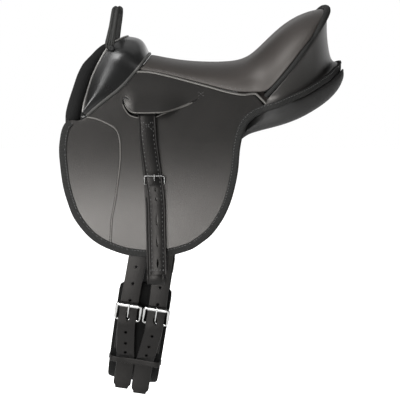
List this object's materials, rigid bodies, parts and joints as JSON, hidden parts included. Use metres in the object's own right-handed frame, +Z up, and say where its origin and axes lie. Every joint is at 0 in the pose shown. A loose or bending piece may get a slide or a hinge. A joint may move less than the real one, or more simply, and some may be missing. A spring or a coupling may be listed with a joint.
{
  "type": "pony saddle",
  "caption": "Small riding saddle for a pony with a grab handle, high cantle, bound flaps, stirrup leathers and a short buckled girth.",
  "frame": {"origin": "on the middle plane, where the saddle's channel sits over the pony's spine", "axes": "+X towards the cantle, +Y towards the off (right) side, +Z up"},
  "size_m": [0.4008, 0.3316, 0.5623],
  "materials": {
    "smooth_leather": "smooth satin black synthetic leather",
    "gloss_moulding": "glossy black moulded pommel",
    "soft_facing": "matte black padded facing",
    "ribbed_tape": "ribbed black binding tape and webbing",
    "strap_leather": "grained black strap leather",
    "panel_cloth": "matte black panel covering",
    "girth_cloth": "soft brushed black girth covering",
    "chromed_steel": "bright chromed steel",
    "tree_moulding": "moulded nylon tree",
    "head_steel": "pressed steel",
    "foam": "open-cell seat foam"
  },
  "bodies": {
    "root": {"tree": "tree_moulding", "head_plate": "head_steel", "seat_foam": "foam", "seat_cover": "smooth_leather", "cantle_cover": "smooth_leather", "cantle_binding": "ribbed_tape", "pommel_cover": "gloss_moulding", "pommel_piping": "smooth_leather", "front_facing": "soft_facing", "panel_band": "ribbed_tape", "handle_screw_left": "gloss_moulding", "handle_screw_right": "gloss_moulding", "skirt_left": "smooth_leather", "seat_piping_left": "smooth_leather", "panel_left": "panel_cloth", "sweat_flap_left": "strap_leather", "stirrup_bar_left": "head_steel", "leather_loop_left": "strap_leather", "skirt_right": "smooth_leather", "seat_piping_right": "smooth_leather", "panel_right": "panel_cloth", "sweat_flap_right": "strap_leather", "stirrup_bar_right": "head_steel", "leather_loop_right": "strap_leather"},
    "handle": {"handle": "ribbed_tape"},
    "flap_left": {"flap_left": "smooth_leather", "flap_binding_left": "ribbed_tape"},
    "skirt_tongue_left": {"skirt_tongue_left": "smooth_leather"},
    "stirrup_leather_left": {"stirrup_leather_left": "strap_leather", "stirrup_buckle_left": "chromed_steel"},
    "stirrup_buckle_tongue_left": {"stirrup_buckle_tongue_left": "chromed_steel"},
    "flap_right": {"flap_right": "smooth_leather", "flap_binding_right": "ribbed_tape"},
    "skirt_tongue_right": {"skirt_tongue_right": "smooth_leather"},
    "stirrup_leather_right": {"stirrup_leather_right": "strap_leather", "stirrup_buckle_right": "chromed_steel"},
    "stirrup_buckle_tongue_right": {"stirrup_buckle_tongue_right": "chromed_steel"},
    "girth": {"girth_pad": "girth_cloth", "girth_keeper_left": "strap_leather", "girth_keeper_right": "strap_leather", "billet_front_left": "strap_leather", "girth_chape_front_left": "strap_leather", "girth_buckle_front_left": "chromed_steel", "billet_rear_left": "strap_leather", "girth_chape_rear_left": "strap_leather", "girth_buckle_rear_left": "chromed_steel", "billet_front_right": "strap_leather", "girth_chape_front_right": "strap_leather", "girth_buckle_front_right": "chromed_steel", "billet_rear_right": "strap_leather", "girth_chape_rear_right": "strap_leather", "girth_buckle_rear_right": "chromed_steel"},
    "girth_roller_front_left": {"girth_roller_front_left": "chromed_steel"},
    "girth_tongue_front_left": {"girth_tongue_front_left": "chromed_steel"},
    "girth_roller_rear_left": {"girth_roller_rear_left": "chromed_steel"},
    "girth_tongue_rear_left": {"girth_tongue_rear_left": "chromed_steel"},
    "girth_roller_front_right": {"girth_roller_front_right": "chromed_steel"},
    "girth_tongue_front_right": {"girth_tongue_front_right": "chromed_steel"},
    "girth_roller_rear_right": {"girth_roller_rear_right": "chromed_steel"},
    "girth_tongue_rear_right": {"girth_tongue_rear_right": "chromed_steel"}
  },
  "joints": [
    {"name": "flap_lift_left", "type": "hinge", "parent": "root", "child": "flap_left", "pos_m": [0, -0.09358, 0.034], "axis": [-1, 0, 0], "range_deg": [0, 65]},
    {"name": "skirt_tongue_lift_left", "type": "hinge", "parent": "flap_left", "child": "skirt_tongue_left", "pos_m": [0, -0.09358, 0.034], "axis": [-1, 0, 0], "range_deg": [0, 40]},
    {"name": "stirrup_leather_swing_left", "type": "hinge", "parent": "flap_left", "child": "stirrup_leather_left", "pos_m": [-0.073, -0.1091, 0.02], "axis": [-1, 0, 0], "range_deg": [0, 70]},
    {"name": "stirrup_buckle_tongue_lift_left", "type": "hinge", "parent": "stirrup_leather_left", "child": "stirrup_buckle_tongue_left", "pos_m": [-0.0625, -0.14033, -0.074], "axis": [1, 0, 0], "range_deg": [0, 3]},
    {"name": "flap_lift_right", "type": "hinge", "parent": "root", "child": "flap_right", "pos_m": [0, 0.09358, 0.034], "axis": [1, 0, 0], "range_deg": [0, 65]},
    {"name": "skirt_tongue_lift_right", "type": "hinge", "parent": "flap_right", "child": "skirt_tongue_right", "pos_m": [0, 0.09358, 0.034], "axis": [1, 0, 0], "range_deg": [0, 40]},
    {"name": "stirrup_leather_swing_right", "type": "hinge", "parent": "flap_right", "child": "stirrup_leather_right", "pos_m": [-0.073, 0.1091, 0.02], "axis": [1, 0, 0], "range_deg": [0, 70]},
    {"name": "stirrup_buckle_tongue_lift_right", "type": "hinge", "parent": "stirrup_leather_right", "child": "stirrup_buckle_tongue_right", "pos_m": [-0.0625, 0.14033, -0.074], "axis": [-1, 0, 0], "range_deg": [0, 3]},
    {"name": "girth_swing", "type": "hinge", "parent": "root", "child": "girth", "pos_m": [-0.03674, 0, 0.022], "axis": [0, 1, 0], "range_deg": [0, 6]},
    {"name": "girth_roller_spin_front_left", "type": "hinge", "parent": "girth", "child": "girth_roller_front_left", "pos_m": [-0.09766, -0.15255, -0.2401], "axis": [0.9874, 0, -0.158], "continuous": true},
    {"name": "girth_tongue_lift_front_left", "type": "hinge", "parent": "girth", "child": "girth_tongue_front_left", "pos_m": [-0.10145, -0.14075, -0.2638], "axis": [0.9874, 0, -0.158], "range_deg": [0, 3]},
    {"name": "girth_roller_spin_rear_left", "type": "hinge", "parent": "girth", "child": "girth_roller_rear_left", "pos_m": [-0.05955, -0.15255, -0.2462], "axis": [0.9874, 0, -0.158], "continuous": true},
    {"name": "girth_tongue_lift_rear_left", "type": "hinge", "parent": "girth", "child": "girth_tongue_rear_left", "pos_m": [-0.06334, -0.14075, -0.2699], "axis": [0.9874, 0, -0.158], "range_deg": [0, 3]},
    {"name": "girth_roller_spin_front_right", "type": "hinge", "parent": "girth", "child": "girth_roller_front_right", "pos_m": [-0.09766, 0.15255, -0.2401], "axis": [0.9874, 0, -0.158], "continuous": true},
    {"name": "girth_tongue_lift_front_right", "type": "hinge", "parent": "girth", "child": "girth_tongue_front_right", "pos_m": [-0.10145, 0.14075, -0.2638], "axis": [-0.9874, 0, 0.158], "range_deg": [0, 3]},
    {"name": "girth_roller_spin_rear_right", "type": "hinge", "parent": "girth", "child": "girth_roller_rear_right", "pos_m": [-0.05955, 0.15255, -0.2462], "axis": [0.9874, 0, -0.158], "continuous": true},
    {"name": "girth_tongue_lift_rear_right", "type": "hinge", "parent": "girth", "child": "girth_tongue_rear_right", "pos_m": [-0.06334, 0.14075, -0.2699], "axis": [-0.9874, 0, 0.158], "range_deg": [0, 3]},
    {"name": "handle_tilt", "type": "hinge", "parent": "root", "child": "handle", "pos_m": [-0.125, 0, 0.1065], "axis": [0, 1, 0], "range_deg": [-10, 10]}
  ]
}
